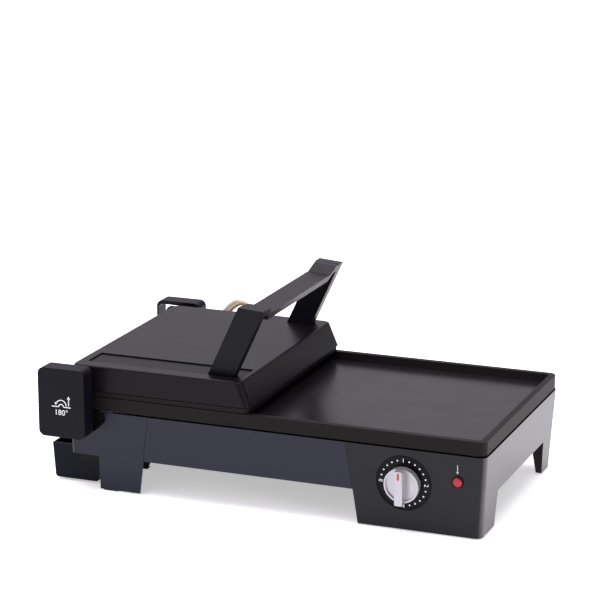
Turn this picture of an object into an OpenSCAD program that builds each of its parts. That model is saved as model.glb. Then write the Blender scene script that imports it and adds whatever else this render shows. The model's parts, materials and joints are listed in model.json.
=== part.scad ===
// Long electric griddle with a hinged panini press over its left half.
// Frame: +X right along the front, +Y to the back, +Z up, millimetres.
// Origin: centre of the footprint, at the level of the feet.

/* [Base] */
// Length of the base body along its top edge
body_l = 524; // [520:1:560]
// Depth of the base body, front panel to rear panel
body_w = 300; // [298:1:304]
// Height of the base panels above the table
base_h = 100.5; // [100:0.5:102]
// How far the foot of each panel leans in from its top
lean = 6; // [4:0.5:6.5]
// Thickness of the moulded panels
wall = 2.5; // [2:0.1:2.8]
// Height of the skirt's lower edge, between the legs
skirt_z = 43.5; // [42:0.5:44.5]
// Radius of the body's upright corners
corner_r = 9; // [7:0.5:10]
// Radius of the upright corners at the tower end
left_r = 4; // [3.5:0.5:6]

/* [Griddle] */
// Level of the underside of the griddle plate
griddle_z = 102.5; // [102.3:0.1:103]
// Height of the griddle plate's outer edge
griddle_h = 16.5; // [16:0.1:16.6]
// Depth of the cooking surface below the rim
griddle_deep = 10; // [9:0.1:10]
// Width of the rim's flat top
rim_w = 7.5; // [6:0.5:8]

/* [Lid] */
// Length of the lid along the base
lid_l = 235; // [225:1:240]
// Level of the lid's flat top
lid_top = 156.6; // [156:0.1:158]
// Level of the lid casing's lower edge
casing_z = 126.4; // [126.2:0.1:127]
// Thickness of the lid casing
casing_t = 2; // [1.6:0.1:2.4]

/* [Handle] */
// Highest point of the handle
handle_top = 241.5; // [235:0.5:243]
// Width of a handle leg, along the lid
leg_w = 33; // [30:0.5:34]
// Sideways lean of the handle legs over their height
leg_lean = 40; // [36:1:42]
// Thickness of a handle leg, front to back
leg_t = 14; // [12:0.5:15]

/* [Towers and hinge] */
// Width of a hinge tower
tower_w = 61; // [59:0.5:62]
// Front to back thickness of a hinge tower
tower_t = 23; // [22:0.5:24]
// Level of a tower's lower edge
tower_z = 73; // [72:0.5:74]
// Level of a tower's top
tower_top = 158.4; // [158:0.1:160]
// Level of the hinge axis with the lid closed
axis_z = 121.8; // [121.6:0.1:122]

/* [Drip tray] */
// How far the tray shows beyond the left end of the base
tray_out = 36; // [34:0.5:38]
// Half the width of the tray
tray_half = 127; // [120:0.5:127]

/* [Controls] */
// Distance of the knob's centre from the right end
knob_in = 98.7; // [96:0.1:104]
// Height of the knob's centre
knob_z = 58.8; // [58:0.1:60]
// Radius of the knob
knob_r = 21; // [20:0.5:24]
// Width of the knob's grip bar
grip_w = 9.5; // [8:0.5:12]
// Radius of the dial
dial_r = 33.5; // [32:0.5:34]

/* [Hidden] */

$fn = 48;
eps = 0.01;
x_left = tray_out - (body_l + tray_out) / 2;
x_right = x_left + body_l;
y_half = body_w / 2;
lean_a = atan(lean / base_h);
foot_z = 1.5;
seam_gap = 0.4;
metal = [0.24, 0.24, 0.29];
housing_colour = [0.22, 0.22, 0.24];
black = [0.08, 0.08, 0.09];
steel = [0.6, 0.6, 0.62];

// Seams: the legs' inner edges are slanted, and the aprons meet them there.
seam_l_top = x_left + 103.5;
seam_l_foot = x_left + 88.5;
seam_r_top = x_right - 169;
seam_r_foot = x_right - 155.5;
leg_x = x_left + 36.5;
leg_deep = 13;
foot_l = 26;
rear_leg_x = x_right - 20;
rear_leg_foot_x = x_right - 13;
housing_back = -y_half + 61;
rear_leg_y = y_half - 48;
arch_slant = 4.5;

pan_z = 47;
pan_t = 1.2;
pan_top = 97;
pan_notch_x = x_right - 176;
pan_notch_y = -y_half + 66;
pan_l = x_left + 4;
pan_r = x_right - 8;
pan_y = y_half - 9;
post_shoulder = 84;
post_x = [x_left + 44, x_left + 264, x_right - 40];
post_y = 72;

griddle_l = x_left + 1;
griddle_r = x_right - 1;
griddle_y = y_half - 0.7;
rim_z = griddle_z + griddle_h;
cook_z = rim_z - griddle_deep;
drain_x = x_left + 17.5;

lid_l_x = x_left;
lid_r_x = x_left + lid_l;
plate_z = rim_z + 1;
plate_top = plate_z + 5.4;
rib_pitch = 9;
rib_h = 2.5;
slab_z = cook_z + 4;
slab_l = lid_l_x + 15;
slab_r = lid_r_x - 13;
slab_y = y_half - 15;
recess_l = lid_l_x + 16;
recess_r = lid_r_x - 18;
recess_y0 = -y_half + 20;
recess_y1 = -y_half + 58;
recess_floor = lid_top - 4;
strip_top = lid_top - 1.8;

leg_foot_x = lid_r_x - 62.5;
leg_y = y_half - 21.5;
rear_handle_y = y_half - 14;
bar_t = 9;
bar_drop = 9.5;
cap_l = 10;
bend_l = 10;
cap_tilt = 2.5;

axis_x = x_left - 3;
tower_l = x_left - 26;
tower_y = y_half + 7;
tower_r = 8;
tower_wall = 2.5;
rod_x = x_left + 20;
rod_y = tower_y + 10.5;
rod_r = 4;
pin_r = 5;
fit = 0.05;
arm_t = 5;
arm_r = 7;
arm_y = y_half + 1;
block_h = 22;
block_r = 6;
hoop_top = 5;
bracket_top = 99;

knob_x = x_right - knob_in;
lamp_x = x_right - 33.7;
lamp_z = 68.4;
shaft_r = 3;
lamp_r = 5.4;

rail_y = tray_half + 1.4;
rail_z = 30.5;
tray_z = 3;
tray_low = 40.8;
tray_high = 47;
tray_end = x_left + 26;
runner_end = x_left + 84;

cord_sides = 10;
main_r = 3.5;
earth_r = 2.5;
mains_gland_at = [40, 70];
base_gland = [-172, 80];
lid_gland = [-148, 138];
main_route = [
  [-168, 146, 80], [-168, 153, 80], [-168, 161.5, 77.5], [-168.5, 168, 70.5], [-171.5, 171, 60.5],
  [-178.5, 171.5, 52.5], [-188, 171.5, 50], [-197, 171.5, 54], [-202.5, 171.5, 63], [-203.5, 171.5, 80],
  [-203, 171.5, 100], [-199.5, 171.5, 117], [-191.5, 171.5, 132], [-180.5, 171.5, 145.5],
  [-170, 171.5, 157.5], [-160, 171, 163.6], [-151.5, 170, 162.5], [-147, 169, 156], [-147.5, 167.5, 148],
  [-150.5, 161.5, 140.5], [-152, 154.5, 138], [-152, 146, 138]];
earth_route = [
  [-176, 146, 80], [-176, 152, 80], [-176, 158, 78], [-177, 162.5, 72], [-180.5, 164, 65],
  [-187, 164.5, 62], [-193, 164.5, 66], [-195, 164.5, 75], [-195.5, 164.5, 98], [-192, 164.5, 114],
  [-184, 164.5, 129], [-174, 164.3, 144], [-163.5, 164, 156], [-153, 163.5, 163], [-145, 162.5, 163],
  [-140, 161.5, 156], [-140, 161.5, 148], [-142, 159.5, 141.5], [-144, 154, 138], [-144, 146, 138]];

// ---- helpers ----

// Plan outline from x0 to x1 and y0 to y1 with round corners.
module plan(x0, x1, y0, y1, r) {
  translate([x0 + r, y0]) square([x1 - x0 - 2 * r, y1 - y0]);
  translate([x0, y0 + r]) square([x1 - x0, y1 - y0 - 2 * r]);
  for (x = [x0 + r, x1 - r], y = [y0 + r, y1 - r]) translate([x, y]) circle(r);
}

// A slab with a round-cornered plan, from z0 to z1.
module slab(x0, x1, y0, y1, z0, z1, r) {
  translate([0, 0, z0]) linear_extrude(z1 - z0) plan(x0, x1, y0, y1, r);
}

// A plain block between two corners.
module block(a, b) { translate(a) cube(b - a); }

// An outline in X and Z, drawn out from y0 to y1.
module side_on(points, y0, y1) {
  translate([0, y1, 0]) rotate([90, 0, 0]) linear_extrude(y1 - y0) polygon(points);
}

// An outline in Y and Z, drawn out from x0 to x1.
module end_on(points, x0, x1) {
  translate([x0, 0, 0]) rotate([90, 0, 90]) linear_extrude(x1 - x0) polygon(points);
}

// A cylinder along Y from y0 to y1.
module rod_y_dir(x, z, r, y0, y1) { translate([x, y1, z]) rotate([90, 0, 0]) cylinder(r = r, h = y1 - y0); }

// Children on both the front and the rear side.
module both_sides() {
  children();
  mirror([0, 1, 0]) children();
}

// How far the leaning panels stand in from their top edge at a height.
function inset(z) = lean * (1 - z / base_h);

// The X of a slanted seam at a height.
function seam_x(top, foot, z) = foot + (top - foot) * z / base_h;

// The base's outer volume, offset inward by off, from z0 to z1.
module base_volume(off, z0, z1) {
  hull() for (z = [z0, z1 - eps], side = [-1, 1]) {
    y = y_half - inset(z);
    translate([x_left + left_r, side * (y - left_r), z]) cylinder(r = left_r - off, h = eps, $fn = 32);
    translate([x_right - inset(z) - corner_r, side * (y - corner_r), z])
      cylinder(r = corner_r - off, h = eps, $fn = 32);
  }
}

// Children drawn on the leaning front panel: local Z is straight out of the panel.
module on_front(x, z) {
  translate([x, -y_half + inset(z), z]) rotate([90 + lean_a, 0, 0]) children();
}

// ---- cord sweep ----

function lerp3(a, b, t) = a + (b - a) * t;
function spline_point(p, i, t) =
  let (n = len(p), a = p[max(i - 1, 0)], b = p[i], c = p[min(i + 1, n - 1)], d = p[min(i + 2, n - 1)])
  0.5 * (2 * b + (c - a) * t + (2 * a - 5 * b + 4 * c - d) * t * t + (3 * b - a - 3 * c + d) * t * t * t);
function smooth_path(p, steps) =
  concat([for (i = [0 : len(p) - 2], s = [0 : steps - 1]) spline_point(p, i, s / steps)], [p[len(p) - 1]]);
function unit(v) = v / norm(v);
function tangent(p, i) = unit(p[min(i + 1, len(p) - 1)] - p[max(i - 1, 0)]);
function ring(p, i, r, n) =
  let (t = tangent(p, i), u = unit(cross(t, [1, 0.2, 0])), w = cross(t, u))
  [for (k = [0 : n - 1]) p[i] + r * (cos(360 * k / n) * u + sin(360 * k / n) * w)];

// A solid through a row of sections, each a ring of the same number of points.
module loft(rings) {
  n = len(rings[0]);
  m = len(rings);
  sides = [for (i = [0 : m - 2], k = [0 : n - 1])
    let (a = i * n + k, b = i * n + (k + 1) % n) each [[a, a + n, b + n], [a, b + n, b]]];
  first = [for (k = [0 : n - 1]) k];
  last = [for (k = [n - 1 : -1 : 0]) (m - 1) * n + k];
  polyhedron([for (r = rings) each r], concat([first], [last], sides), convexity = 6);
}

// A round tube of radius r along a smooth path.
module tube(route, r) {
  path = smooth_path(route, 3);
  loft([for (i = [0 : len(path) - 1]) ring(path, i, r, cord_sides)]);
}

// ---- base panels ----

// Side view of a left leg, which narrows to the floor along its seam.
leg_outside = [
  [leg_x, 0], [seam_l_foot, 0],
  [seam_x(seam_l_top, seam_l_foot, skirt_z + 1), skirt_z + 1], [leg_x, skirt_z + 1]];
// The leg is open to the right and has a floor only at its left end.
leg_inside = [
  [leg_x + wall, foot_z + wall], [leg_x + foot_l, foot_z + wall], [leg_x + foot_l, 0],
  [seam_l_top, 0], [seam_l_top, skirt_z + 1], [leg_x + wall, skirt_z + 1]];
// Corner opening that the tower's bracket comes through.
function tower_opening() = [
  [x_left - 1, 75], [x_left + 32, 75], [x_left + 47, 89], [x_left + 47, base_h + 1], [x_left - 1, base_h + 1]];

module left_end_shell() color(metal) {
  difference() {
    intersection() {
      base_volume(0, foot_z, base_h);
      union() {
        side_on([[x_left - 1, skirt_z], [seam_x(seam_l_top, seam_l_foot, skirt_z), skirt_z],
                 [seam_l_top, base_h], [x_left - 1, base_h]], -y_half - 1, y_half + 1);
        both_sides() side_on(leg_outside, -y_half - 1, -y_half + leg_deep);
      }
    }
    intersection() {
      base_volume(wall, foot_z - 1, base_h + 1);
      union() {
        block([x_left, -y_half, skirt_z], [seam_l_top + 5, y_half, base_h + 2]);
        both_sides() side_on(leg_inside, -y_half - 1, -y_half + leg_deep + 1);
      }
    }
    both_sides() side_on(tower_opening(), -y_half - 1, -y_half + 12);
    rod_y_dir(base_gland[0], base_gland[1], 8.1, y_half - 10, y_half + 5);
  }
}

// Apron between the slanted seams, with a return along its lower edge.
module apron() {
  top = [seam_l_top + seam_gap, seam_r_top - seam_gap];
  low = [seam_x(seam_l_top, seam_l_foot, skirt_z) + seam_gap, seam_x(seam_r_top, seam_r_foot, skirt_z) - seam_gap];
  y_low = -y_half + inset(skirt_z);
  intersection() {
    side_on([[low[0], skirt_z], [low[1], skirt_z], [top[1], base_h], [top[0], base_h]], -y_half - 1, -y_half + 30);
    end_on([[y_low, skirt_z], [y_low + 9, skirt_z], [y_low + 9, skirt_z + wall], [y_low + wall, skirt_z + wall],
            [-y_half + wall, base_h], [-y_half, base_h]], low[0] - 20, low[1] + 20);
  }
}

module front_panel() color(metal) apron();

module rear_panel() color(metal) difference() {
  mirror([0, 1, 0]) apron();
  rod_y_dir(mains_gland_at[0], mains_gland_at[1], 6.1, y_half - 10, y_half + 5);
}

// Side view of the control housing, narrowing to the floor on its left.
function housing_outline(t, z0, z1) = [
  [seam_x(seam_r_top, seam_r_foot, z0) + t, z0], [x_right + 1, z0],
  [x_right + 1, z1], [seam_x(seam_r_top, seam_r_foot, z1) + t, z1]];

// The rear right leg from level z0 up, t inside its outline; it narrows to the floor.
module rear_leg(t, z0) {
  intersection() {
    end_on([[rear_leg_y + arch_slant + t, z0], [y_half + 1, z0],
            [y_half + 1, skirt_z + 1], [rear_leg_y + t, skirt_z + 1]], rear_leg_x, x_right + 1);
    side_on([[rear_leg_foot_x + t, z0], [x_right + 1, z0],
             [x_right + 1, skirt_z + 1], [rear_leg_x + t, skirt_z + 1]], 0, y_half + 1);
  }
}

module right_end_shell() color(housing_colour) difference() {
  intersection() {
    base_volume(0, foot_z, base_h);
    union() {
      side_on(housing_outline(0, skirt_z, base_h), -y_half - 1, y_half + 1);
      intersection() {
        side_on(housing_outline(0, 0, skirt_z + 1), -y_half - 1, 0);
        end_on([[-y_half - 1, 0], [housing_back - arch_slant, 0], [housing_back, skirt_z + 1],
                [-y_half - 1, skirt_z + 1]], seam_r_top, x_right + 1);
      }
      rear_leg(0, 0);
    }
  }
  intersection() {
    base_volume(wall, foot_z - 1, base_h + 1);
    union() {
      block([seam_r_top - 5, -y_half, skirt_z], [x_right, y_half, base_h + 2]);
      intersection() {
        side_on(housing_outline(wall, 0, skirt_z + 1), -y_half - 1, 0);
        end_on([[-y_half - 1, 0], [housing_back - arch_slant - wall, 0], [housing_back - wall, skirt_z + 1],
                [-y_half - 1, skirt_z + 1]], seam_r_top, x_right + 1);
      }
      rear_leg(wall, foot_z + wall);
    }
  }
  on_front(knob_x, knob_z) translate([0, 0, -10]) cylinder(r = dial_r + 0.3, h = 20, $fn = 96);
  on_front(lamp_x, lamp_z) translate([0, 0, -10]) cylinder(r = lamp_r + 1, h = 20);
}

module housing_cover() color(black)
  slab(seam_r_foot + wall + 1.2, x_right - lean - wall - 0.8, -y_half + lean + wall + 0.6,
       housing_back - arch_slant - wall - 0.8, foot_z, 4, 4);

module foot_pads() color([0.05, 0.05, 0.05]) {
  for (p = [[seam_r_foot + 24, -y_half + 34], [x_right - 30, -y_half + 34]])
    translate([p[0], p[1], 0]) cylinder(r = 7, h = foot_z);
  both_sides()
    slab(leg_x + 3, leg_x + foot_l - 3, -y_half + lean + 0.8, -y_half + leg_deep - 0.8, 0, foot_z, 2.5);
  slab(rear_leg_foot_x + 1, x_right - lean - 1, rear_leg_y + arch_slant + 8, y_half - lean - 6, 0, foot_z, 2);
}

// ---- inside the base ----

function pan_outline(t) = [
  [pan_l + t, -pan_y + t], [pan_notch_x - t, -pan_y + t], [pan_notch_x - t, pan_notch_y + t],
  [pan_r - t, pan_notch_y + t], [pan_r - t, pan_y - t], [pan_l + t, pan_y - t]];

module chassis_pan() color(black) difference() {
  translate([0, 0, pan_z]) linear_extrude(pan_top - pan_z) polygon(pan_outline(0));
  translate([0, 0, pan_z + pan_t]) linear_extrude(pan_top) polygon(pan_outline(pan_t));
  block([pan_notch_x - 5, -y_half, 92], [x_right, pan_notch_y + 5, base_h]);
  translate([drain_x, 0, pan_z - 1]) cylinder(r = 8.8, h = 5);
  for (g = [base_gland, mains_gland_at]) rod_y_dir(g[0], g[1], 8.6, pan_y - 5, pan_y + 1);
}

module griddle_posts() color(steel) for (x = post_x, y = [-post_y, post_y]) translate([x, y, 0]) {
  translate([0, 0, pan_z + pan_t]) cylinder(r = 6, h = post_shoulder - pan_z - pan_t);
  translate([0, 0, post_shoulder]) cylinder(r = 4, h = griddle_z - post_shoulder);
}

module base_reflector() color(steel) difference() {
  translate([0, 0, post_shoulder]) linear_extrude(7) polygon(pan_outline(4));
  translate([0, 0, post_shoulder + 0.8]) linear_extrude(8) polygon(pan_outline(4.8));
  for (x = post_x, y = [-post_y, post_y]) translate([x, y, post_shoulder - 1]) cylinder(r = 4.2, h = 4);
  translate([drain_x, 0, post_shoulder - 1]) cylinder(r = 8.8, h = 4);
}

module heat_shield() color(steel) difference() {
  block([pan_notch_x + 12, -y_half + 6, 88], [x_right - 7, pan_notch_y - 2, 89]);
  translate([150, -110, 87]) cylinder(r = 6, h = 4);
}

heater_z = 98.6;
heater_r = 3.5;
heater_rows = [-110, -37, 37, 110];
heater_left = x_left + 70;
heater_right = x_right - 62;

// A straight run of heater along X.
module run_x(x0, x1, y, z, r) { translate([x0, y, z]) rotate([0, 90, 0]) cylinder(r = r, h = x1 - x0); }

// A half turn that joins two rows; side is 1 at the right end and -1 at the left.
module half_turn(x, y0, y1, z, r, side) {
  translate([x, (y0 + y1) / 2, z]) rotate([0, 0, side > 0 ? -90 : 90])
    rotate_extrude(angle = 180) translate([(y1 - y0) / 2, 0]) circle(r);
}

// A quarter turn from a run along X down to a stub; side as for half_turn.
module down_turn(x, y, z, r, bend, side, drop) {
  translate([x, y, z - bend]) rotate([90, 0, 0]) rotate([0, 0, side > 0 ? 0 : 90])
    rotate_extrude(angle = 90) translate([bend, 0]) circle(r);
  translate([x + side * bend, y, z - bend - drop]) cylinder(r = r, h = drop);
}

module base_heater() color([0.35, 0.33, 0.32]) {
  run_x(heater_left, 165, heater_rows[0], heater_z, heater_r);
  half_turn(heater_left, heater_rows[0], heater_rows[1], heater_z, heater_r, -1);
  run_x(heater_left, heater_right, heater_rows[1], heater_z, heater_r);
  half_turn(heater_right, heater_rows[1], heater_rows[2], heater_z, heater_r, 1);
  run_x(heater_left, heater_right, heater_rows[2], heater_z, heater_r);
  half_turn(heater_left, heater_rows[2], heater_rows[3], heater_z, heater_r, -1);
  run_x(heater_left, x_right - 30, heater_rows[3], heater_z, heater_r);
}

module drain_spout() color(steel) translate([drain_x, 0, 0]) difference() {
  union() {
    translate([0, 0, 44.5]) cylinder(r = 8, h = griddle_z - 44.5);
    translate([0, 0, griddle_z - 2]) cylinder(r = 11, h = 2);
  }
  translate([0, 0, 44]) cylinder(r = 5.5, h = griddle_z);
}

module griddle_plate() color([0.13, 0.13, 0.13]) difference() {
  slab(griddle_l, griddle_r, -griddle_y, griddle_y, griddle_z, rim_z, 10);
  hull() for (e = [[rim_w, rim_z + 1, 5], [rim_w + 3, cook_z, 4]])
    translate([0, 0, e[1]]) linear_extrude(eps)
      plan(griddle_l + e[0], griddle_r - e[0], -griddle_y + e[0], griddle_y - e[0], e[2], $fn = 32);
  translate([drain_x, 0, griddle_z - 1]) cylinder(r = 5, h = griddle_h);
}

// ---- controls ----

module dial_plate() color(black) on_front(knob_x, knob_z) difference() {
  union() {
    translate([0, 0, -wall - 0.1]) cylinder(r = dial_r, h = wall + 0.1, $fn = 96);
    difference() {
      translate([0, 0, -wall]) cylinder(r = dial_r, h = wall + 0.8, $fn = 96);
      cylinder(r = dial_r - 1.6, h = 2, $fn = 96);
    }
    translate([0, 0, -wall - 1.4]) cylinder(r = dial_r + 2, h = 1.35, $fn = 96);
  }
  translate([0, 0, -8]) cylinder(r = shaft_r + 0.8, h = 12);
}

module thermostat() color(steel) on_front(knob_x, knob_z) difference() {
  union() {
    translate([0, 0, -6.5]) cylinder(r = 9, h = 2.5);
    translate([0, 0, -26]) cylinder(r = 18, h = 19.5);
    for (x = [-12, 12]) translate([x - 3, -0.5, -32]) cube([6, 1, 6.5]);
  }
  translate([0, 0, -20]) cylinder(r = shaft_r + fit, h = 20);
}

module thermostat_shaft() color(steel) on_front(knob_x, knob_z)
  translate([0, 0, -19]) cylinder(r = shaft_r, h = 32);

module knob() color([0.75, 0.75, 0.76]) on_front(knob_x, knob_z) difference() {
  union() {
    difference() {
      translate([0, 0, 1.2]) cylinder(r = knob_r, h = 8.3, $fn = 96);
      translate([0, 0, 7.5]) cylinder(r = knob_r - 2.2, h = 4, $fn = 96);
    }
    intersection() {
      translate([-grip_w / 2, -knob_r, 7]) cube([grip_w, 2 * knob_r, 12.5]);
      translate([0, 0, 1.2]) cylinder(r = knob_r, h = 20, $fn = 96);
    }
  }
  translate([0, 0, 0]) cylinder(r = shaft_r + 0.02, h = 13.2);
  translate([-1.3, 10.8, 18.7]) cube([2.6, 8.4, 2]);
}

module knob_pointer() color([0.75, 0.1, 0.1]) on_front(knob_x, knob_z)
  translate([-1.2, 10.9, 18.7]) cube([2.4, 8.2, 0.9]);

module lamp_bezel() color(black) on_front(lamp_x, lamp_z) difference() {
  union() {
    translate([0, 0, 0.05]) cylinder(r = lamp_r + 1.8, h = 1.3);
    translate([0, 0, -12]) cylinder(r = lamp_r + 0.9, h = 12.05);
  }
  translate([0, 0, -13]) cylinder(r = lamp_r + 0.1, h = 20);
}

module lamp_lens() color([0.7, 0.12, 0.15]) on_front(lamp_x, lamp_z) {
  translate([0, 0, -10]) cylinder(r = lamp_r, h = 11.6);
  translate([0, 0, 1.6]) cylinder(r1 = lamp_r, r2 = lamp_r - 1.2, h = 1);
}

module lamp_body() color([0.85, 0.85, 0.8]) on_front(lamp_x, lamp_z)
  translate([0, 0, -26]) cylinder(r = lamp_r, h = 15.9);

module terminal_block() color([0.85, 0.83, 0.75]) difference() {
  block([195, -120, 4], [245, -102, 18]);
  for (i = [0 : 3]) translate([202 + 12 * i, -111, 10]) cylinder(r = 2.5, h = 10);
}

// ---- drip tray ----

module tray_rails() color(black) both_sides() intersection() {
  end_on([[-rail_y - 7, rail_z], [-rail_y, rail_z], [-rail_y, rail_z + 1.5], [-rail_y - 5.5, rail_z + 1.5],
          [-rail_y - 5.5, pan_z - 1.5], [-rail_y, pan_z - 1.5], [-rail_y, pan_z], [-rail_y - 7, pan_z]],
         x_left + 6, x_left + 103);
  side_on([[x_left, rail_z - 1], [x_left + 95, rail_z - 1], [x_left + 103, pan_z + 1], [x_left, pan_z + 1]],
          -y_half, 0);
}

// Side view of the tray: a high lip outside the base, low walls under it.
function tray_outline(t) = [
  [x_left - tray_out + t, tray_high + (t > 0 ? 1 : 0)],
  for (k = [0 : 5]) [x_left - tray_out + 7.2 - (4.2 - t) * cos(18 * k), tray_z + 4.2 - (4.2 - t) * sin(18 * k)],
  for (k = [0 : 5]) [tray_end - 4.2 + (4.2 - t) * sin(18 * k), tray_z + 4.2 - (4.2 - t) * cos(18 * k)],
  [tray_end - t, tray_low + (t > 0 ? 20 : 0)],
  [x_left - 3.5, tray_low + (t > 0 ? 20 : 0)], [x_left - 3.5, tray_high + (t > 0 ? 1 : 0)]];

module drip_tray() color([0.12, 0.12, 0.16]) {
  difference() {
    side_on(tray_outline(0), -tray_half, tray_half);
    side_on(tray_outline(2), -tray_half + 2, tray_half - 2);
  }
  both_sides() block([x_left + 8, -tray_half - 4.6, rail_z + 1.8], [runner_end, -tray_half, rail_z + 3.3]);
}

// ---- glands ----

// A gland in a wall that faces +Y: a body through the wall and a flange outside it.
module gland(x, z, y, r, holes) difference() {
  union() {
    rod_y_dir(x, z, r, y - 8, y + 1);
    rod_y_dir(x, z, r + 2, y + 0.05, y + 3);
  }
  for (h = holes) rod_y_dir(x + h[0], z + h[1], h[2], y - 9, y + 4);
}

module mains_gland() color(black)
  gland(mains_gland_at[0], mains_gland_at[1], y_half - inset(mains_gland_at[1] + 8), 6, [[0, 0, 3.6]]);

module base_link_gland() color(black)
  gland(base_gland[0], base_gland[1], y_half - inset(base_gland[1] + 10), 8,
        [[4, 0, main_r + 0.3], [-4, 0, earth_r + 0.3]]);

module lid_link_gland() color(black)
  gland(lid_gland[0], lid_gland[1], y_half, 8, [[-4, 0, main_r + 0.3], [4, 0, earth_r + 0.3]]);

// ---- towers and hinge ----

// Front tower outline, from y0 to y1, grown inward by t.
module tower_body(t, y0, y1) {
  translate([0, y1, 0]) rotate([90, 0, 0]) linear_extrude(y1 - y0)
    plan(tower_l + t, tower_l + tower_w - t, tower_z + t, tower_top - t, tower_r - t);
}

module front_tower_cover() color([0.15, 0.15, 0.17]) difference() {
  tower_body(0, -tower_y - tower_t, -tower_y);
  tower_body(tower_wall, -tower_y - tower_t + 3, -tower_y + 1);
}

module rear_tower_frame() color([0.15, 0.15, 0.17]) mirror([0, 1, 0]) difference() {
  tower_body(0, -tower_y - tower_t, -tower_y);
  translate([0, 1 - tower_y, 0]) rotate([90, 0, 0]) linear_extrude(tower_t + 2)
    plan(tower_l + tower_wall, tower_l + tower_w - tower_wall, tower_z + tower_wall, tower_top - hoop_top,
         tower_r - tower_wall);
}

module tower_brackets() color(steel) both_sides()
  block([x_left + 8, -tower_y - tower_t + 3.05, tower_z + tower_wall + 0.2],
        [x_left + 26, -pan_y - 0.05, bracket_top]);

module guide_rods() color(steel) both_sides() translate([rod_x, -rod_y, bracket_top]) {
  cylinder(r = rod_r, h = tower_top - hoop_top - bracket_top - 0.1);
  cylinder(r = rod_r + 2, h = axis_z - block_h / 2 - bracket_top - 0.1);
}

module slide_block() difference() {
  translate([0, -tower_y - 3, 0]) rotate([90, 0, 0]) linear_extrude(15)
    plan(axis_x - 9, rod_x + 9.5, axis_z - block_h / 2, axis_z + block_h / 2, block_r);
  rod_y_dir(axis_x, axis_z, pin_r + fit, -tower_y - 20, -tower_y);
  translate([rod_x, -rod_y, axis_z - block_h]) cylinder(r = rod_r + fit, h = 2 * block_h);
}

module front_slide_block() color([0.2, 0.2, 0.2]) slide_block();

module rear_slide_block() color([0.2, 0.2, 0.2]) mirror([0, 1, 0]) slide_block();

arm_l = axis_x - arm_r;
arm_right = axis_x + 32;
arm_low = axis_z - arm_r;
arm_top = axis_z + 31;
arm_screw_x = axis_x + 24;
arm_screw_z = [arm_top - 10, arm_top - 21];

module hinge_arms() color(black) both_sides() difference() {
  translate([0, -arm_y, 0]) rotate([90, 0, 0]) linear_extrude(arm_t)
    plan(arm_l, arm_right, arm_low, arm_top, arm_r);
  for (z = arm_screw_z) {
    rod_y_dir(arm_screw_x, z, 2.1, -arm_y - arm_t - 1, -arm_y + 1);
    rod_y_dir(arm_screw_x, z, 4.1, -arm_y - arm_t - 1, -arm_y - arm_t + 2.1);
  }
  rod_y_dir(axis_x, axis_z, pin_r + 0.02, -arm_y - arm_t - 1, -arm_y + 1);
}

module hinge_pins() color(steel) both_sides() {
  rod_y_dir(axis_x, axis_z, pin_r, -tower_y - 19, -arm_y);
}

module arm_screws() color(steel) both_sides() for (z = arm_screw_z) {
  rod_y_dir(arm_screw_x, z, 2, -arm_y - arm_t + 0.2, -y_half + 9);
  rod_y_dir(arm_screw_x, z, 4, -arm_y - arm_t + 0.1, -arm_y - arm_t + 2);
}

// ---- lid ----

// The lid casing's volume, offset inward by off: sloped sides and a bevelled top edge.
function casing_level(z) = (z - casing_z) / (lid_top - casing_z);
module casing_volume(off, z_top) {
  hull() for (e = [[casing_z - (off > 0 ? 1 : 0), 0], [z_top - 1.6, 0], [z_top - 0.5, 0.5], [z_top, 1.6]]) {
    k = casing_level(e[0]);
    translate([0, 0, e[0] - eps]) linear_extrude(eps)
      plan(lid_l_x + 4 * k + off + e[1], lid_r_x - 12 * k - off - e[1],
           -y_half + 2 * k + off + e[1], y_half - 2 * k - off - e[1], 8 - off, $fn = 32);
  }
}

module lid_casing() color([0.27, 0.26, 0.29]) difference() {
  union() {
    difference() {
      casing_volume(0, lid_top);
      casing_volume(casing_t, lid_top - casing_t);
    }
    block([recess_l - 2, recess_y0 - 2, recess_floor - casing_t],
          [recess_r + 2, recess_y1 + 2, lid_top - casing_t + 0.5]);
  }
  block([recess_l, recess_y0, recess_floor], [recess_r, recess_y1, lid_top + 1]);
  for (p = leg_screws(), y = [-leg_y + leg_t / 2, rear_handle_y - leg_t / 2])
    translate([p, y, recess_floor - 5]) cylinder(r = 2.6, h = 10);
  both_sides() for (z = arm_screw_z) rod_y_dir(arm_screw_x, z, 2.1, -y_half - 1, -y_half + 8);
  rod_y_dir(lid_gland[0], lid_gland[1], 8.1, y_half - 8, y_half + 5);
}

module lid_trim_strip() color([0.2, 0.2, 0.22]) difference() {
  block([recess_l + 0.5, recess_y0 + 0.5, recess_floor + 0.05], [recess_r - 0.5, recess_y1 - 0.5, strip_top]);
  for (p = leg_screws()) translate([p, -leg_y + leg_t / 2, recess_floor - 5]) cylinder(r = 2.6, h = 20);
}

// Upper grill plate: rim, slab that enters the griddle, and ribs under it.
function rib_outline() = concat(
  [[slab_l, plate_top], [slab_l, slab_z]],
  [for (x = [slab_l + 2 : rib_pitch : slab_r - rib_pitch], p = [[0, 0], [1, -rib_h], [3.5, -rib_h], [4.5, 0]])
    [x + p[0], slab_z + p[1]]],
  [[slab_r, slab_z], [slab_r, plate_top]]);

module lid_plate() color([0.13, 0.13, 0.13]) {
  slab(lid_l_x + 1, lid_r_x - 1.5, -griddle_y, griddle_y, plate_z, plate_top, 9);
  side_on(rib_outline(), -slab_y, slab_y);
}

module lid_frame() color(black) difference() {
  slab(lid_l_x + 5, lid_r_x - 9, -y_half + 5, y_half - 5, plate_top + 0.1, 138, 6);
  slab(lid_l_x + 11, lid_r_x - 15, -y_half + 11, y_half - 11, plate_top - 1, 139, 4);
  rod_y_dir(lid_gland[0], lid_gland[1], 8.2, y_half - 12, y_half + 5);
  both_sides() for (z = arm_screw_z) rod_y_dir(arm_screw_x, z, 2.2, -y_half, -y_half + 12);
}

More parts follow.
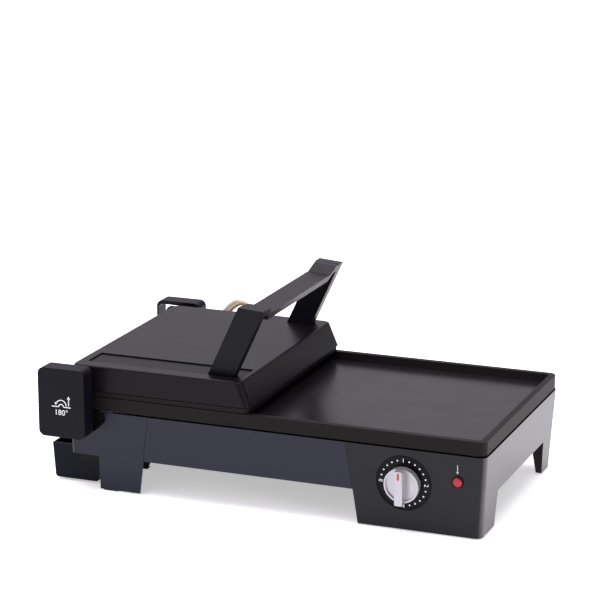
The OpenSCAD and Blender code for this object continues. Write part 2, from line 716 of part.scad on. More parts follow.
lid_heater_z = plate_top + 3.4;

module lid_heater() color([0.35, 0.33, 0.32]) {
  for (y = [-108, -36, 36, 108]) run_x(lid_l_x + 64, lid_r_x - 64, y, lid_heater_z, 3.2);
  half_turn(lid_r_x - 64, -108, -36, lid_heater_z, 3.2, 1);
  half_turn(lid_l_x + 64, -36, 36, lid_heater_z, 3.2, -1);
  half_turn(lid_r_x - 64, 36, 108, lid_heater_z, 3.2, 1);
}

module lid_reflector() color(steel) difference() {
  slab(lid_l_x + 14, lid_r_x - 20, -y_half + 16, y_half - 20, plate_top + 0.1, 137, 4);
  slab(lid_l_x + 14.8, lid_r_x - 20.8, -y_half + 16.8, y_half - 20.8, plate_top - 1, 136.2, 3.2);
}

module thermal_fuse() color([0.85, 0.83, 0.75]) translate([lid_l_x + 110, 0, plate_top + 0.1]) {
  cylinder(r = 8, h = 4);
  translate([0, 0, 4]) cylinder(r = 5, h = 3);
}

// ---- handle ----

// X of the handle's left edge at a height.
function leg_edge(z) = leg_foot_x + leg_lean * (z - strip_top) / (handle_top - strip_top);
function leg_screws() = [leg_foot_x + 9, leg_foot_x + 25];

// A leg that stands on foot_level and leans to the right, its outer face at outer_y from the middle.
module handle_leg(foot_level, outer_y) difference() {
  low = foot_level + 0.1;
  high = handle_top - cap_tilt;
  side_on([[leg_edge(low), low], [leg_edge(low) + leg_w, low], [leg_edge(high) + leg_w, high],
           [leg_edge(handle_top), handle_top]], -outer_y, -outer_y + leg_t);
  for (p = leg_screws()) translate([p, -outer_y + leg_t / 2, foot_level - 1]) cylinder(r = 2.55, h = 15);
}

module handle_front_leg() color([0.16, 0.16, 0.18]) handle_leg(strip_top, leg_y);

module handle_rear_leg() color([0.16, 0.16, 0.18]) mirror([0, 1, 0]) handle_leg(lid_top, rear_handle_y);

// Section of the bar at y, its upper left corner drop below the handle's top.
function bar_section(drop, y) = let (top = handle_top - drop, right = top - cap_tilt) [
  [leg_edge(top) + 2, y, top], [leg_edge(right) + leg_w, y, right],
  [leg_edge(right - bar_t) + leg_w, y, right - bar_t], [leg_edge(top - bar_t) + 2, y, top - bar_t]];

module handle_bar() color([0.2, 0.2, 0.22]) {
  front = leg_y - leg_t - 0.05;
  rear = rear_handle_y - leg_t - 0.05;
  loft([bar_section(0.3, -front), bar_section(0.3, -front + cap_l),
        bar_section(bar_drop, -front + cap_l + bend_l),
        bar_section(bar_drop, rear - cap_l - bend_l), bar_section(0.3, rear - cap_l), bar_section(0.3, rear)]);
}

// Screws up into a leg from under the casing, whose inner face there is at level.
module leg_screw_pair(level, y) {
  for (p = leg_screws()) translate([p, y, level]) {
    translate([0, 0, -3]) cylinder(r = 4.5, h = 2.95);
    translate([0, 0, -0.1]) cylinder(r = 2.5, h = 15);
  }
}

module handle_screws() color(steel) {
  leg_screw_pair(recess_floor - casing_t, -leg_y + leg_t / 2);
  leg_screw_pair(lid_top - casing_t, rear_handle_y - leg_t / 2);
}

// ---- link cords ----

module link_cord_main() color([0.9, 0.85, 0.74]) tube(main_route, main_r);

module link_cord_earth() color([0.9, 0.85, 0.74]) tube(earth_route, earth_r);

left_end_shell();
front_panel();
rear_panel();
right_end_shell();
housing_cover();
chassis_pan();
foot_pads();
griddle_plate();
griddle_posts();
base_heater();
base_reflector();
heat_shield();
drain_spout();
thermostat();
terminal_block();
dial_plate();
lamp_bezel();
lamp_lens();
lamp_body();
tray_rails();
mains_gland();
base_link_gland();
front_tower_cover();
rear_tower_frame();
tower_brackets();
guide_rods();
drip_tray();
knob();
knob_pointer();
thermostat_shaft();
front_slide_block();
rear_slide_block();
lid_casing();
lid_trim_strip();
lid_plate();
lid_frame();
lid_heater();
lid_reflector();
thermal_fuse();
handle_front_leg();
handle_rear_leg();
handle_bar();
handle_screws();
hinge_arms();
hinge_pins();
arm_screws();
lid_link_gland();
link_cord_main();
link_cord_earth();
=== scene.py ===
"""Long electric griddle with a hinged panini press: looks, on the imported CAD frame."""
import json
from math import cos, radians, sin, pi

import bmesh
import bpy
from mathutils import Matrix, Vector


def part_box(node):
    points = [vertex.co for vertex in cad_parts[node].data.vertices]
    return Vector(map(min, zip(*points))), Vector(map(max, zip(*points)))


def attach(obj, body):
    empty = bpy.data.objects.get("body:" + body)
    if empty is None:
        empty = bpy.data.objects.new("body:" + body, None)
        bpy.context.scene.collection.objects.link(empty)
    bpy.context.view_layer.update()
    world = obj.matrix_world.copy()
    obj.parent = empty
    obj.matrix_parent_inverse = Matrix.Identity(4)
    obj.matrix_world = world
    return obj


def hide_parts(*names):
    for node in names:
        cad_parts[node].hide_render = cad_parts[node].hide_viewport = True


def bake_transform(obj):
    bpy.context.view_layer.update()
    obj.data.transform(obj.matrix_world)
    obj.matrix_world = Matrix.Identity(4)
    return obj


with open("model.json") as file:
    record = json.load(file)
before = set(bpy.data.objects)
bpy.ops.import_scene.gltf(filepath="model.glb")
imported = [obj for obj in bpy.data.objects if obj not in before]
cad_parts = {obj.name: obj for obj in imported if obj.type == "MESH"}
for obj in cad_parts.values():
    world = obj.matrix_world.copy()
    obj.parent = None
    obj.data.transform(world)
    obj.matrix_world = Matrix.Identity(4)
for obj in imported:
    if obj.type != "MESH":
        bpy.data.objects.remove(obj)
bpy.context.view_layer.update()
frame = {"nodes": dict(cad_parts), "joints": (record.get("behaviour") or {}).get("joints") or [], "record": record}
NODES = frame["nodes"]
MM = 0.001


# ---- camera ----

CAMERA_AT = (1.0068, -2.5593, 0.9442)
CAMERA_PITCH = 14.706
CAMERA_YAW = 21.563
CAMERA_LENS = 140.71


def make_camera():
    data = bpy.data.cameras.new("camera")
    data.lens = CAMERA_LENS
    data.sensor_width = 36
    data.clip_end = 30
    camera = bpy.data.objects.new("camera", data)
    bpy.context.scene.collection.objects.link(camera)
    camera.location = CAMERA_AT
    camera.rotation_euler = (radians(90 - CAMERA_PITCH), 0, radians(CAMERA_YAW))
    bpy.context.scene.camera = camera


# ---- node materials ----

RANGE_SOCKETS = ("From Min", "From Max", "To Min", "To Max")


class Shader:
    """Builds one Principled material with noise-driven colour, roughness and bump."""

    def __init__(self, name, rough, metallic=0.0, specular=0.5, coat=0.0, coat_rough=0.1):
        self.material = bpy.data.materials.new(name)
        self.material.use_nodes = True
        self.tree = self.material.node_tree
        self.shader = self.tree.nodes["Principled BSDF"]
        self.rough, self.heights = rough, []
        for socket, value in (("Metallic", metallic), ("Specular IOR Level", specular),
                              ("Coat Weight", coat), ("Coat Roughness", coat_rough)):
            self.shader.inputs[socket].default_value = value
        self.where = self.node("ShaderNodeTexCoord").outputs["Object"]

    def node(self, kind, **settings):
        node = self.tree.nodes.new(kind)
        for key, value in settings.items():
            setattr(node, key, value)
        return node

    def link(self, a, b):
        self.tree.links.new(a, b)

    def noise(self, size, detail=3.0, roughness=0.55, stretch=(1, 1, 1)):
        """Noise whose features are about size metres across."""
        place = self.node("ShaderNodeMapping")
        place.inputs["Scale"].default_value = stretch
        self.link(self.where, place.inputs["Vector"])
        noise = self.node("ShaderNodeTexNoise")
        noise.inputs["Scale"].default_value = 1 / size
        noise.inputs["Detail"].default_value = detail
        noise.inputs["Roughness"].default_value = roughness
        self.link(place.outputs["Vector"], noise.inputs["Vector"])
        return noise.outputs["Fac"]

    def span(self, value, low, high, to_low=0.0, to_high=1.0):
        """Maps low..high onto to_low..to_high."""
        node = self.node("ShaderNodeMapRange")
        for socket, number in zip(RANGE_SOCKETS, (low, high, to_low, to_high)):
            node.inputs[socket].default_value = number
        self.link(value, node.inputs["Value"])
        return node.outputs["Result"]

    def mix(self, factor, a, b):
        """Colour a to colour b by factor; each may be a colour or a socket."""
        node = self.node("ShaderNodeMix", data_type="RGBA")
        self.link(factor, node.inputs["Factor"])
        for socket, value in ((node.inputs["A"], a), (node.inputs["B"], b)):
            if isinstance(value, (tuple, list)):
                socket.default_value = (*value, 1)
            else:
                self.link(value, socket)
        return node.outputs["Result"]

    def scuffed(self, tone, colour, strength=0.35):
        """Sparse, fine, slightly paler handling marks over a tone."""
        marks = self.noise(0.004, 6, 0.75, stretch=(1, 0.35, 1))
        return self.mix(self.span(marks, 0.66, 0.8, 0, strength), tone, shade(colour, 2.5))

    def bump(self, height, distance, strength=1.0):
        """Adds a bump of that many metres under any that is there already."""
        node = self.node("ShaderNodeBump")
        node.inputs["Distance"].default_value = distance
        node.inputs["Strength"].default_value = strength
        self.link(height, node.inputs["Height"])
        if self.heights:
            self.link(self.heights[-1], node.inputs["Normal"])
        self.heights.append(node.outputs["Normal"])

    def done(self, colour, rough=None):
        """Links the colour and, where it varies, the roughness; returns the material."""
        self.link(colour, self.shader.inputs["Base Color"])
        if rough is None:
            self.shader.inputs["Roughness"].default_value = self.rough
        else:
            self.link(rough, self.shader.inputs["Roughness"])
        if self.heights:
            self.link(self.heights[-1], self.shader.inputs["Normal"])
        return self.material


# Roughness and specular levels that belong to a kind of finish.
PLATE_SPECULAR = 0.15
BURNISHED_ROUGH = (0.22, 0.28)
SLEEVE_ROUGH = 0.75
CERAMIC_ROUGH = 0.7
INK_ROUGH = 0.5
LENS_ROUGH = 0.22

# How metallic the painted sheen on the housing's end is, and where its normal's X turns from the dark plastic to
# the painted silver sheen that stands in for the light the end reflects.
END_SHEEN_METAL = 0.4
END_SHEEN_FACING = (0.5, 0.95)

# Height of the griddle's floor above the underside of its plate.
GRIDDLE_FLOOR = 0.0065

# Braid of the cord sleeves.
BRAID_SCALE = 260
BRAID_WAVER = 1.5


def shade(colour, factor):
    return tuple(min(1.0, c * factor) for c in colour)


def moulded(name, colour, rough, grain=0.0006, depth=0.00003, vary=0.1, **more):
    """Moulded plastic: a fine spark-eroded grain and faint patches of polish."""
    s = Shader(name, rough, **more)
    fine = s.noise(grain, 2)
    s.bump(fine, depth, 0.5)
    broad = s.noise(0.05, 4)
    tone = s.mix(s.span(broad, 0.3, 0.7), shade(colour, 1 - vary), shade(colour, 1 + vary))
    return s.done(s.scuffed(tone, colour), s.span(broad, 0.3, 0.7, rough * 0.93, rough * 1.07))


def painted(name, colour, rough, sparkle=1.4, peel=0.00002, **more):
    """Satin paint: fine flakes, slight orange peel and faint handling marks."""
    s = Shader(name, rough, **more)
    flakes = s.noise(0.0005, 1)
    tone = s.mix(s.span(flakes, 0.45, 0.75), colour, shade(colour, sparkle))
    broad = s.noise(0.1, 3)
    tone = s.mix(s.span(broad, 0.25, 0.75, 0, 0.25), tone, shade(colour, 0.8))
    s.bump(s.noise(0.003, 2), peel, 0.4)
    s.bump(flakes, 0.000008, 0.4)
    return s.done(s.scuffed(tone, colour), s.span(broad, 0.25, 0.75, rough * 0.95, rough * 1.08))


def brushed(name, colour, rough):
    """Bare drawn or brushed steel."""
    s = Shader(name, rough, metallic=1.0)
    lines = s.noise(0.0008, 3, stretch=(0.06, 1, 1))
    s.bump(lines, 0.00002, 0.6)
    tone = s.mix(s.span(lines, 0.3, 0.7), shade(colour, 0.8), shade(colour, 1.1))
    return s.done(tone, s.span(s.noise(0.02), 0.3, 0.7, rough * 0.7, rough * 1.3))


def sheen_painted_end(name, colour, painted_silver_sheen, rough, **more):
    """Satin housing: dark on its front; its end face is painted pale silver with fine drawn lines and made partly
    metallic, a painted sheen in place of the light the end reflects.
    """
    s = Shader(name, rough, **more)
    facing = s.node("ShaderNodeSeparateXYZ")
    s.link(s.node("ShaderNodeTexCoord").outputs["Normal"], facing.inputs["Vector"])
    end = s.span(facing.outputs["X"], *END_SHEEN_FACING)
    lines = s.noise(0.0011, 4, stretch=(1, 1, 0.02))
    grain = s.noise(0.0006, 2)
    s.bump(lines, 0.00002, 0.3)
    s.bump(grain, 0.00002, 0.4)
    # Painted sheen: the end face is coloured pale silver in place of the light it reflects.
    painted_sheen = s.mix(s.span(lines, 0.35, 0.65), shade(painted_silver_sheen, 0.88), shade(painted_silver_sheen, 1.08))
    dark = s.mix(s.span(s.noise(0.05, 4), 0.3, 0.7), shade(colour, 0.9), shade(colour, 1.1))
    s.link(s.span(end, 0, 1, 0, END_SHEEN_METAL), s.shader.inputs["Metallic"])
    return s.done(s.mix(end, dark, painted_sheen), s.span(grain, 0.3, 0.7, rough * 0.95, rough * 1.05))


def coated_plate(name, rim_painted_shade, floor, rough, level):
    """Cast plate under a non-stick coating: pebbled; its floor below level is burnished, and its rim is coloured
    darker than the floor, a painted shade for the dark surroundings the rim reflects.
    """
    s = Shader(name, rough, specular=PLATE_SPECULAR)
    at = s.node("ShaderNodeSeparateXYZ")
    s.link(s.where, at.inputs["Vector"])
    facing = s.node("ShaderNodeSeparateXYZ")
    s.link(s.node("ShaderNodeTexCoord").outputs["Normal"], facing.inputs["Vector"])
    lit_and_burnished_floor = s.node("ShaderNodeMath", operation="MULTIPLY")
    s.link(s.span(at.outputs["Z"], level + 0.003, level + 0.001), lit_and_burnished_floor.inputs[0])
    s.link(s.span(facing.outputs["Z"], 0.4, 0.8), lit_and_burnished_floor.inputs[1])
    lit_and_burnished_floor = lit_and_burnished_floor.outputs["Value"]
    pebble = s.noise(0.0011, 3, 0.6)
    cast = s.noise(0.01, 4)
    s.bump(cast, 0.00006, 0.4)
    s.bump(pebble, 0.00004, 0.5)
    # Painted shade: the rim takes a darker colour than the floor, in place of the dark surroundings it reflects;
    # the floor's lower roughness is its own burnish.
    tone = s.mix(lit_and_burnished_floor, rim_painted_shade, floor)
    tone = s.mix(s.span(cast, 0.3, 0.7, 0, 0.3), tone, (0.0, 0.0, 0.0))
    tone = s.mix(s.span(pebble, 0.62, 0.8, 0, 0.25), tone, shade(floor, 2.0))
    smooth_rough, dull_rough = BURNISHED_ROUGH
    burnish = s.mix(s.span(s.noise(0.06), 0.3, 0.7), (smooth_rough,) * 3, (dull_rough,) * 3)
    return s.done(tone, s.mix(lit_and_burnished_floor, (rough, rough, rough), burnish))


def woven(name, colour):
    """Braided glass-fibre sleeve."""
    s = Shader(name, SLEEVE_ROUGH)
    wave = s.node("ShaderNodeTexWave", wave_type="BANDS", bands_direction="DIAGONAL")
    wave.inputs["Scale"].default_value = BRAID_SCALE
    wave.inputs["Distortion"].default_value = BRAID_WAVER
    s.link(s.where, wave.inputs["Vector"])
    s.bump(wave.outputs["Fac"], 0.0003, 0.8)
    s.shader.inputs["Sheen Weight"].default_value = 0.3
    tone = s.mix(wave.outputs["Fac"], shade(colour, 0.72), colour)
    return s.done(s.mix(s.span(s.noise(0.01), 0.4, 0.8, 0, 0.5), tone, shade(colour, 0.8)))


def ceramic(name, colour):
    """Glazed white ceramic of the heater ends."""
    s = Shader(name, CERAMIC_ROUGH)
    s.bump(s.noise(0.001), 0.00005)
    return s.done(s.mix(s.noise(0.01), shade(colour, 0.85), colour))


def ink(name, colour):
    """Printed marking: slightly uneven ink."""
    s = Shader(name, INK_ROUGH)
    return s.done(s.mix(s.span(s.noise(0.002), 0.3, 0.8), colour, shade(colour, 0.8)))


def lens(name, colour):
    """Red translucent lamp lens."""
    s = Shader(name, LENS_ROUGH, coat=0.15, coat_rough=0.05, specular=0.3)
    s.shader.inputs["Subsurface Weight"].default_value = 0.15
    s.shader.inputs["Subsurface Scale"].default_value = 0.003
    s.bump(s.noise(0.0015), 0.0001, 0.4)
    return s.done(s.mix(s.span(s.noise(0.004), 0.3, 0.7), shade(colour, 0.8), shade(colour, 1.2)))


def make_materials():
    griddle_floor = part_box("griddle_plate")[0][2] + GRIDDLE_FLOOR
    return {
        "body": painted("body_paint", (0.0060, 0.0062, 0.0175), 0.36, specular=0.26),
        # The housing's third colour is the painted silver sheen of its end face.
        "housing": sheen_painted_end("housing_plastic", (0.0042, 0.0043, 0.0068), (0.110, 0.103, 0.115),
                                0.34, specular=0.22),
        "black": moulded("black_plastic", (0.003, 0.003, 0.004), 0.5, specular=0.12),
        "rubber": moulded("rubber", (0.010, 0.010, 0.010), 0.85, grain=0.001, depth=0.0001),
        "pan": painted("pan_black", (0.003, 0.003, 0.003), 0.6, specular=0.12),
        # The plate's first colour is the rim's painted shade.
        "plate": coated_plate("non_stick", (0.0042, 0.0030, 0.0030), (0.010, 0.009, 0.011), 0.55,
                              griddle_floor),
        "steel": brushed("steel", (0.55, 0.55, 0.57), 0.3),
        "sheath": brushed("heater_sheath", (0.16, 0.13, 0.12), 0.5),
        "ceramic": ceramic("ceramic", (0.75, 0.72, 0.64)),
        "dial": moulded("dial_black", (0.002, 0.002, 0.003), 0.2, specular=0.1),
        "lens": lens("lamp_lens_red", (0.34, 0.008, 0.018)),
        "lamp_white": moulded("lamp_white", (0.7, 0.69, 0.65), 0.5),
        "tower": painted("tower_paint", (0.0030, 0.0030, 0.0055), 0.4, specular=0.11),
        "tray": moulded("tray_plastic", (0.0018, 0.0018, 0.0075), 0.4, specular=0.10),
        "knob": moulded("knob_silver", (0.38, 0.37, 0.40), 0.26, metallic=0.6),
        "pointer": moulded("pointer_red", (0.42, 0.012, 0.012), 0.35),
        "lid": painted("lid_paint", (0.0040, 0.0030, 0.0050), 0.32, specular=0.14),
        "strip": moulded("strip_plastic", (0.006, 0.006, 0.007), 0.5, specular=0.16),
        "frame": painted("frame_black", (0.005, 0.004, 0.004), 0.6, specular=0.15),
        "handle": painted("handle_paint", (0.0034, 0.0030, 0.0052), 0.36, specular=0.14),
        "bar": moulded("bar_plastic", (0.0050, 0.0040, 0.0055), 0.42, specular=0.2),
        "arm": painted("arm_black", (0.004, 0.004, 0.005), 0.5, specular=0.2),
        "sleeve": woven("cord_sleeve", (0.78, 0.74, 0.66)),
        "sleeve_tan": woven("cord_sleeve_tan", (0.50, 0.38, 0.26)),
        "ink": ink("light_ink", (0.82, 0.82, 0.84)),
        "grey_ink": ink("grey_ink", (0.40, 0.41, 0.45)),
    }


SLOT_LOOKS = {
    "body_shell": "body", "housing": "housing", "black_plastic": "black", "rubber": "rubber", "pan": "pan",
    "cast_plate": "plate", "steel": "steel", "heater_sheath": "sheath", "ceramic_white": "ceramic",
    "dial_black": "dial", "lamp_red": "lens", "lamp_white": "lamp_white", "tower_paint": "tower",
    "tray": "tray", "knob_silver": "knob", "pointer_red": "pointer", "lid_paint": "lid",
    "strip_dark": "strip", "lid_frame": "frame", "handle_paint": "handle", "handle_bar": "bar",
    "arm_black": "arm", "cord_sleeve": "sleeve"}


# Radius of the rounding on a node's sharp edges, in metres.
EDGE_WIDTH = {
    "left_end_shell": 0.0012, "front_panel": 0.0010, "rear_panel": 0.0010, "right_end_shell": 0.0012,
    "griddle_plate": 0.0014, "front_tower_cover": 0.0022, "rear_tower_frame": 0.0009,
    "lid_plate": 0.0008, "handle_front_leg": 0.0014, "handle_rear_leg": 0.0014, "handle_bar": 0.0018,
    "drip_tray": 0.0010, "knob": 0.0010, "knob_pointer": 0.0002, "hinge_arms": 0.0006,
    "dial_plate": 0.0004, "lamp_bezel": 0.0003, "lid_trim_strip": 0.0003, "front_slide_block": 0.0008,
    "rear_slide_block": 0.0008, "tower_brackets": 0.0005, "tray_rails": 0.0004}
EDGE_SEGMENTS = 3
EDGE_ANGLE = 35


def dress_nodes(looks):
    """Gives every CAD node its material, and rounds its sharp edges."""
    slots = {s["node"]: s["material_slot"] for s in frame["record"]["subparts"]}
    for name, node in NODES.items():
        node.data.materials.clear()
        node.data.materials.append(looks[SLOT_LOOKS[slots[name]]])
        width = EDGE_WIDTH.get(name)
        if width:
            bevel = node.modifiers.new("rounded_edges", "BEVEL")
            bevel.width = width
            bevel.segments = EDGE_SEGMENTS
            bevel.limit_method = "ANGLE"
            bevel.angle_limit = radians(EDGE_ANGLE)
            bevel.harden_normals = True


# ---- link cords ----

# Routes from the gland in the base to the gland in the lid, in millimetres.
MAIN_ROUTE = [
    (-168, 146, 80), (-168, 153, 80), (-168, 161.5, 77.5), (-168.5, 168, 70.5), (-171.5, 171, 60.5),
    (-178.5, 171.5, 52.5), (-188, 171.5, 50), (-197, 171.5, 54), (-202.5, 171.5, 63), (-203.5, 171.5, 80),
    (-203, 171.5, 100), (-199.5, 171.5, 117), (-191.5, 171.5, 132), (-180.5, 171.5, 145.5),
    (-170, 171.5, 157.5), (-160, 171, 163.6), (-151.5, 170, 162.5), (-147, 169, 156), (-147.5, 167.5, 148),
    (-150.5, 161.5, 140.5), (-152, 154.5, 138), (-152, 146, 138)]
EARTH_ROUTE = [
    (-176, 146, 80), (-176, 152, 80), (-176, 158, 78), (-177, 162.5, 72), (-180.5, 164, 65),
    (-187, 164.5, 62), (-193, 164.5, 66), (-195, 164.5, 75), (-195.5, 164.5, 98), (-192, 164.5, 114),
    (-184, 164.5, 129), (-174, 164.3, 144), (-163.5, 164, 156), (-153, 163.5, 163), (-145, 162.5, 163),
    (-140, 161.5, 156), (-140, 161.5, 148), (-142, 159.5, 141.5), (-144, 154, 138), (-144, 146, 138)]
MAIN_R = 0.0035
EARTH_R = 0.0025
CORD_STEPS = 8

# Heights between which a cord goes over from base to carriage, and from carriage to lid.
LIFT_ZONE = (0.064, 0.096)


def smooth(route):
    """Points of a Catmull-Rom curve through the route, in metres."""
    p = [Vector(q) * MM for q in route]
    points = []
    for i in range(len(p) - 1):
        a, b, c, d = p[max(i - 1, 0)], p[i], p[i + 1], p[min(i + 2, len(p) - 1)]
        for s in range(CORD_STEPS):
            t = s / CORD_STEPS
            points.append(0.5 * (2 * b + (c - a) * t + (2 * a - 5 * b + 4 * c - d) * t * t
                                 + (3 * b - a - 3 * c + d) * t ** 3))
    return points + [p[-1]]


def tube(name, path, radius, sides=16):
    """A closed round tube along a path."""
    mesh = bmesh.new()
    rings = []
    up = Vector((1, 0.2, 0))
    for i, here in enumerate(path):
        along = (path[min(i + 1, len(path) - 1)] - path[max(i - 1, 0)]).normalized()
        side = (up - along * up.dot(along)).normalized()
        up = side
        other = along.cross(side)
        turns = [2 * pi * k / sides for k in range(sides)]
        rings.append([mesh.verts.new(here + radius * (cos(a) * side + sin(a) * other)) for a in turns])
    for a, b in zip(rings, rings[1:]):
        for k in range(sides):
            mesh.faces.new((a[k], b[k], b[(k + 1) % sides], a[(k + 1) % sides]))
    mesh.faces.new(rings[0])
    mesh.faces.new(reversed(rings[-1]))
    bmesh.ops.recalc_face_normals(mesh, faces=mesh.faces)
    data = bpy.data.meshes.new(name)
    mesh.to_mesh(data)
    mesh.free()
    for face in data.polygons:
        face.use_smooth = True
    obj = bpy.data.objects.new(name, data)
    bpy.context.scene.collection.objects.link(obj)
    return obj


def make_link_cord(node, route, radius, look):
    """One cord in two pieces that meet at the height where the hinge carriage takes over."""
    path = smooth(route)
    riser = range(len(path) // 3, len(path))
    split = next(i for i in riser if path[i].z > LIFT_ZONE[1])
    for part, points in (("low", path[:split + 1]), ("high", path[split:])):
        piece = tube(f"{node}_{part}", points, radius)
        piece.data.materials.append(look)
        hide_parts(node)
        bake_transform(piece)


# ---- printed marks ----

# Thickness of the ink in metres; half of it is sunk into the face.
INK = 0.00012


class Print:
    """Marks drawn in millimetres on a flat face, as thin solids of ink."""

    def __init__(self, name, place, look):
        self.mesh, self.name, self.place, self.look = bmesh.new(), name, place, look

    def shape(self, outline):
        """A filled outline."""
        low = [self.mesh.verts.new((x * MM, y * MM, -INK / 2)) for x, y in outline]
        high = [self.mesh.verts.new((x * MM, y * MM, INK / 2)) for x, y in outline]
        self.mesh.faces.new(reversed(low))
        self.mesh.faces.new(high)
        for i in range(len(outline)):
            k = (i + 1) % len(outline)
            self.mesh.faces.new((low[i], low[k], high[k], high[i]))

    def dot(self, x, y, radius, sides=20):
        """A filled circle."""
        self.shape([(x + radius * cos(2 * pi * i / sides), y + radius * sin(2 * pi * i / sides))
                    for i in range(sides)])

    def stroke(self, points, width):
        """A line of even width, mitred at its corners."""
        p = [Vector(q) for q in points]
        left, right = [], []
        for i in range(len(p)):
            before = (p[i] - p[i - 1]).normalized() if i else (p[1] - p[0]).normalized()
            after = (p[i + 1] - p[i]).normalized() if i + 1 < len(p) else before
            across = Vector((-before.y - after.y, before.x + after.x)).normalized()
            across *= width / 2 / max(0.5, across.dot(Vector((-before.y, before.x))))
            left.append(p[i] + across)
            right.append(p[i] - across)
        for i in range(len(p) - 1):
            self.shape([tuple(right[i]), tuple(right[i + 1]), tuple(left[i + 1]), tuple(left[i])])

    def arc(self, x, y, radius, start, end, width, steps=16):
        """A line of even width along an arc, its angles in degrees."""
        angles = [radians(start + (end - start) * i / steps) for i in range(steps + 1)]
        self.stroke([(x + radius * cos(a), y + radius * sin(a)) for a in angles], width)

    def letters(self, text, x, y, size, turn=0.0):
        """Text centred on x, y."""
        curve = bpy.data.curves.new("text", "FONT")
        curve.body, curve.size, curve.extrude = text, size * MM, INK / 2
        curve.align_x, curve.align_y, curve.resolution_u = "CENTER", "CENTER", 3
        holder = bpy.data.objects.new("text", curve)
        bpy.context.scene.collection.objects.link(holder)
        bpy.context.view_layer.update()
        shape = bpy.data.meshes.new_from_object(holder.evaluated_get(bpy.context.evaluated_depsgraph_get()))
        middle_y = (max(v.co.y for v in shape.vertices) + min(v.co.y for v in shape.vertices)) / 2
        middle_x = (max(v.co.x for v in shape.vertices) + min(v.co.x for v in shape.vertices)) / 2
        shape.transform(Matrix.Translation((x * MM, y * MM, 0)) @ Matrix.Rotation(radians(turn), 4, "Z")
                        @ Matrix.Translation((-middle_x, -middle_y, 0)))
        self.mesh.from_mesh(shape)
        bpy.data.objects.remove(holder)
        bpy.data.curves.remove(curve)
        bpy.data.meshes.remove(shape)

    def done(self):
        """Puts the marks on their face, fixed to the base."""
        bmesh.ops.remove_doubles(self.mesh, verts=self.mesh.verts, dist=1e-7)
        bmesh.ops.recalc_face_normals(self.mesh, faces=self.mesh.faces)
        self.mesh.transform(self.place)
        data = bpy.data.meshes.new(self.name)
        self.mesh.to_mesh(data)
        self.mesh.free()
        data.materials.append(self.look)
        piece = bpy.data.objects.new(self.name, data)
        bpy.context.scene.collection.objects.link(piece)
        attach(piece, "base")


def on_front_wall(x, z):
    """Frame of a point on the leaning front wall: X along it, Y up it, Z out of it."""
    knob = next(j for j in frame["joints"] if j["name"] == "knob_turn")
    out = Vector(knob["axis"])
    out = out if out.y < 0 else -out
    anchor = Vector(knob["pos_m"])
    up = Vector((0, out.z, -out.y))
    up = up if up.z > 0 else -up
    point = anchor + up * (z - anchor.z) / up.z
    turn = Matrix(((1, 0, 0), (0, up.y, up.z), (0, out.y, out.z))).transposed()
    return Matrix.Translation((x, point.y, z)) @ turn.to_4x4()


# The dial scale, in millimetres and degrees: a number at each sixth mark and a dot at the others.
DIAL_MARK_R = 27.6
DIAL_STEP = 15
DIAL_MARKS = 19
MARKS_PER_NUMBER = 6
DIAL_DOT_R = 1.0
NUMERAL_SIZE = 7.4


def make_dial_marks():
    """Numbers 0 to 3 around the knob, with dots between them."""
    low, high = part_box("dial_plate")
    at = on_front_wall((low[0] + high[0]) / 2, (low[2] + high[2]) / 2)
    marks = Print("dial_marks", at, LOOKS["ink"])
    for i in range(DIAL_MARKS):
        angle = 180 - DIAL_STEP * i
        x, y = DIAL_MARK_R * cos(radians(angle)), DIAL_MARK_R * sin(radians(angle))
        if i % MARKS_PER_NUMBER:
            marks.dot(x, y, DIAL_DOT_R)
        else:
            marks.letters(str(i // MARKS_PER_NUMBER), x, y, NUMERAL_SIZE, angle - 90)
    marks.done()


# How far a symbol's origin is above the lamp, and below the top of the tower.
LAMP_MARK_UP = 0.0075
TOWER_MARK_DOWN = 0.0470


def make_lamp_mark():
    """A thermometer above the lamp."""
    low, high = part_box("lamp_bezel")
    at = on_front_wall((low[0] + high[0]) / 2, high[2] + LAMP_MARK_UP)
    mark = Print("temperature_mark", at, LOOKS["grey_ink"])
    mark.dot(0, -3.2, 1.35)
    mark.stroke([(0, -3), (0, 6)], 1.0)
    mark.done()


def make_tower_mark():
    """Pictogram of the lid, with an arrow that turns over it, an arrow up and the angle."""
    line = 1.1
    low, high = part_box("front_tower_cover")
    face = Matrix.Rotation(pi / 2, 4, "X")
    at = Matrix.Translation(((low[0] + high[0]) / 2, low[1], high[2] - TOWER_MARK_DOWN)) @ face
    mark = Print("opening_mark", at, LOOKS["ink"])
    mark.stroke([(-12.6, 0), (-3.4, 0)], line)
    mark.stroke([(3.4, 0), (12.6, 0)], line)
    mark.arc(0, 0, 3.2, -2, 182, line)
    mark.arc(0, 1.4, 6.9, 0, 158, line)
    mark.shape([(-8.6, 5.0), (-4.2, 5.8), (-7.2, 1.6)])
    mark.stroke([(10.0, 2.2), (10.0, 11.0)], 1.2)
    mark.shape([(7.9, 10.2), (12.1, 10.2), (10.0, 14.2)])
    mark.letters("180\u00b0", 0.6, -6.8, 9.6)
    mark.done()


# ---- stage ----

FLOOR_SIZE = 12
FLOOR_GLOW = 0.46


def make_stage():
    """A pale paper floor that glows a little, so that shadows stay light."""
    bpy.ops.mesh.primitive_plane_add(size=FLOOR_SIZE, location=(0, 2, 0))
    floor = bpy.context.object
    floor.name = "floor"
    s = Shader("floor_paper", 0.9, specular=0.2)
    s.shader.inputs["Emission Color"].default_value = (1, 1, 1, 1)
    s.shader.inputs["Emission Strength"].default_value = FLOOR_GLOW
    s.bump(s.noise(0.01), 0.0002, 0.1)
    floor.data.materials.append(s.done(s.mix(s.noise(0.5), (0.9, 0.9, 0.9), (0.92, 0.92, 0.92))))


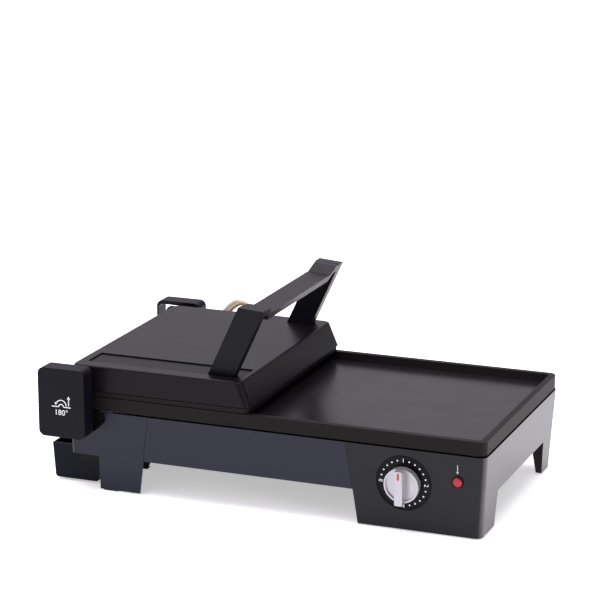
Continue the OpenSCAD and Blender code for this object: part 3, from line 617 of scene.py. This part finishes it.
def light(name, at, aim, watts, width, depth=None):
    """An area light: square, or a rectangle when it has a depth."""
    data = bpy.data.lights.new(name, "AREA")
    data.energy = watts
    data.size = width
    if depth:
        data.shape = "RECTANGLE"
        data.size_y = depth
    lamp = bpy.data.objects.new(name, data)
    bpy.context.scene.collection.objects.link(lamp)
    lamp.location = at
    lamp.rotation_euler = (Vector(aim) - Vector(at)).to_track_quat("-Z", "Y").to_euler()


# Tone of the sky at a height (0 at the horizon, 1 overhead), and its faint colour.
SKY = [(0.0, 0.05), (0.09, 0.10), (0.26, 0.62), (0.45, 0.95), (0.70, 1.0)]
SKY_TINT = (1.0, 0.94, 1.04)

# The sky's strength between two values of X: from X, to X, strength at the first, strength at the second.
SKY_FALL = (-0.2, 0.25, 1.3, 0.5)


def make_world():
    """A white studio that is darker towards the horizon and on the right; it looks white to the camera."""
    world = bpy.data.worlds.new("studio")
    bpy.context.scene.world = world
    world.use_nodes = True
    tree = world.node_tree
    tree.nodes.clear()
    node, link = tree.nodes.new, tree.links.new
    split = node("ShaderNodeSeparateXYZ")
    link(node("ShaderNodeTexCoord").outputs["Generated"], split.inputs["Vector"])
    ramp = node("ShaderNodeValToRGB")
    while len(ramp.color_ramp.elements) < len(SKY):
        ramp.color_ramp.elements.new(0.5)
    for stop, (height, tone) in zip(ramp.color_ramp.elements, SKY):
        stop.position = height
        stop.color = (*(tone * part for part in SKY_TINT), 1)
    link(split.outputs["Z"], ramp.inputs["Fac"])
    shaded = node("ShaderNodeMapRange")
    link(split.outputs["X"], shaded.inputs["Value"])
    for socket, value in zip(RANGE_SOCKETS, SKY_FALL):
        shaded.inputs[socket].default_value = value
    sky = node("ShaderNodeBackground")
    paper = node("ShaderNodeBackground")
    mix = node("ShaderNodeMixShader")
    link(ramp.outputs["Color"], sky.inputs["Color"])
    link(shaded.outputs["Result"], sky.inputs["Strength"])
    paper.inputs["Color"].default_value = (1, 1, 1, 1)
    link(node("ShaderNodeLightPath").outputs["Is Camera Ray"], mix.inputs["Fac"])
    link(sky.outputs["Background"], mix.inputs[1])
    link(paper.outputs["Background"], mix.inputs[2])
    link(mix.outputs["Shader"], node("ShaderNodeOutputWorld").inputs["Surface"])


def make_lights():
    make_world()
    light("top_softbox", at=(-0.1, 0.1, 2.6), aim=(0, 0, 0), watts=82, width=2.6)
    light("right_strip", at=(2.2, -1.05, 0.36), aim=(0.2, -0.1, 0.1), watts=13, width=0.25, depth=0.66)
    bpy.context.scene.view_settings.view_transform = "Standard"


make_camera()
LOOKS = make_materials()
make_link_cord("link_cord_main", MAIN_ROUTE, MAIN_R, LOOKS["sleeve"])
make_link_cord("link_cord_earth", EARTH_ROUTE, EARTH_R, LOOKS["sleeve_tan"])
dress_nodes(LOOKS)
make_dial_marks()
make_lamp_mark()
make_tower_mark()
make_stage()
make_lights()
